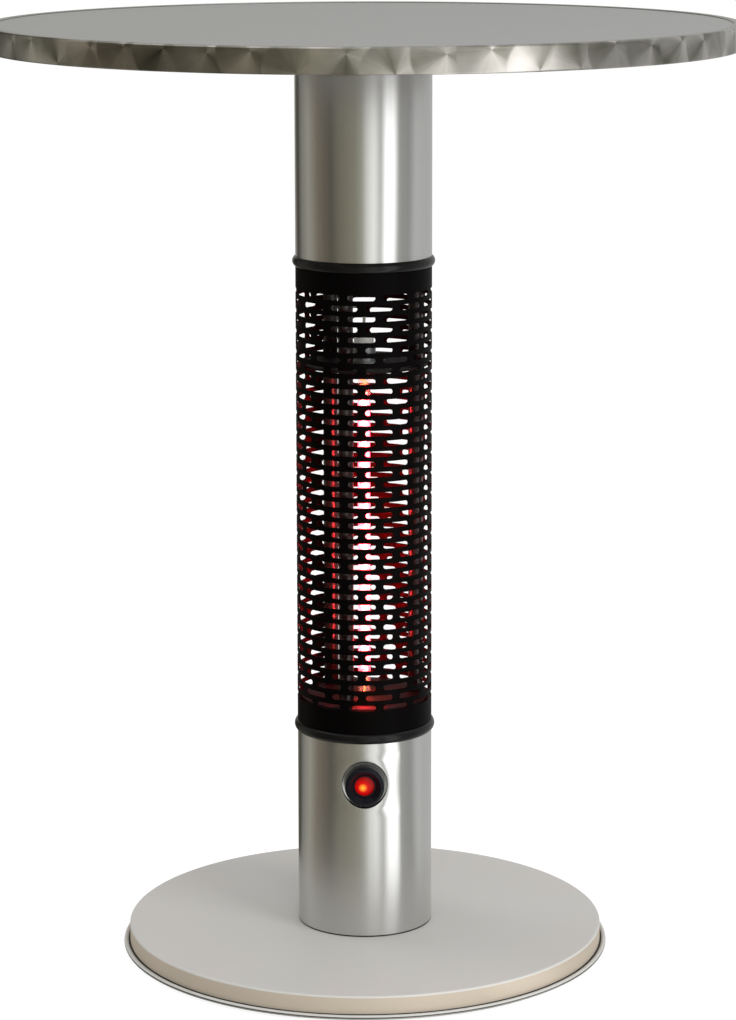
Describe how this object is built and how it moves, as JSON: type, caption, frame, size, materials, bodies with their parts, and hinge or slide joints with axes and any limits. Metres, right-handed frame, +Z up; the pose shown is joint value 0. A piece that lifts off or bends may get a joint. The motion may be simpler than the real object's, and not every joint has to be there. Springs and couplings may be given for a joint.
{
  "type": "heated patio table",
  "caption": "Round bistro table whose column holds a caged upright infrared lamp over a push-button switch and a weighted round base.",
  "frame": {"origin": "on the floor under the middle of the base", "axes": "+Z up along the column, -Y towards the push button, +X to the right seen from the front"},
  "size_m": [0.6, 0.5999, 0.76],
  "materials": {
    "board": "raw fibreboard, sealed edges",
    "top_skin": "satin grey sheet with faint streaks",
    "edge_band": "engine-turned stainless sheet with overlapping brushed spots",
    "brushed_tube": "stainless tube, bright brushed finish",
    "base_steel": "satin stainless sheet",
    "gloss_black": "smooth glossy moulding",
    "black_enamel": "black heat-resistant enamel, semi-gloss",
    "post_enamel": "black enamel, glossy",
    "heat_plate": "heat-darkened steel",
    "zinc_steel": "zinc-plated steel",
    "quartz": "clear quartz",
    "filament": "glowing coiled wire",
    "ceramic": "white ceramic",
    "glass_braid": "woven glass sleeve",
    "rubber": "black rubber",
    "switch_black": "black moulded plastic",
    "red_lens": "translucent red, lit from behind",
    "brass": "plain brass",
    "block_plastic": "white moulded plastic",
    "wire_sleeve": "silicone-insulated wire",
    "cast_weight": "painted iron plate"
  },
  "bodies": {
    "root": {"top_board": "board", "top_skin": "top_skin", "edge_band": "edge_band", "top_flange": "zinc_steel", "top_flange_screws": "zinc_steel", "upper_tube": "brushed_tube", "upper_bulkhead": "zinc_steel", "upper_trim_ring": "gloss_black", "guard": "black_enamel", "lower_trim_ring": "gloss_black", "lower_bulkhead": "zinc_steel", "tie_rods": "zinc_steel", "tie_rod_nuts": "zinc_steel", "lower_spacers": "post_enamel", "front_post": "post_enamel", "right_post": "post_enamel", "rear_post": "post_enamel", "upper_spacers": "post_enamel", "upper_lamp_plate": "heat_plate", "lower_lamp_plate": "heat_plate", "quartz_tube": "quartz", "filament": "filament", "upper_end_cap": "ceramic", "lower_end_cap": "ceramic", "upper_lamp_holder": "zinc_steel", "lower_lamp_holder": "zinc_steel", "lamp_holder_screws": "zinc_steel", "upper_lamp_lead": "glass_braid", "lower_lamp_lead": "glass_braid", "lower_tube": "brushed_tube", "column_screws": "zinc_steel", "switch_bezel": "switch_black", "switch_gasket": "rubber", "switch_body": "switch_black", "switch_nut": "switch_black", "switch_tabs": "brass", "switch_spring": "zinc_steel", "equipment_bracket": "zinc_steel", "bracket_screws": "zinc_steel", "terminal_block": "block_plastic", "terminal_screws": "brass", "tilt_switch_case": "switch_black", "tilt_switch_cover": "switch_black", "tilt_pivot_pin": "zinc_steel", "thermal_cutout": "zinc_steel", "internal_wires": "wire_sleeve", "gland_body": "switch_black", "gland_dome_nut": "switch_black", "gland_lock_nut": "switch_black", "gland_seal": "rubber", "column_foot_flange": "zinc_steel", "base_cover": "base_steel", "base_weight": "cast_weight", "base_pan": "base_steel", "base_bolts": "zinc_steel", "rubber_feet": "rubber", "foot_screws": "zinc_steel"},
    "button": {"button_cap": "switch_black", "button_lens": "red_lens"},
    "pendulum": {"tilt_pendulum": "brass"}
  },
  "joints": [
    {"name": "button_press", "type": "slide", "parent": "root", "child": "button", "axis": [0, 1, 0], "range_m": [0, 0.0025], "stiffness_N_per_m": 600, "deforming": ["switch_spring"]},
    {"name": "tilt_swing", "type": "hinge", "parent": "root", "child": "pendulum", "pos_m": [0, 0.0225, 0.1356], "axis": [0, 1, 0], "range_deg": [-18, 18]}
  ]
}
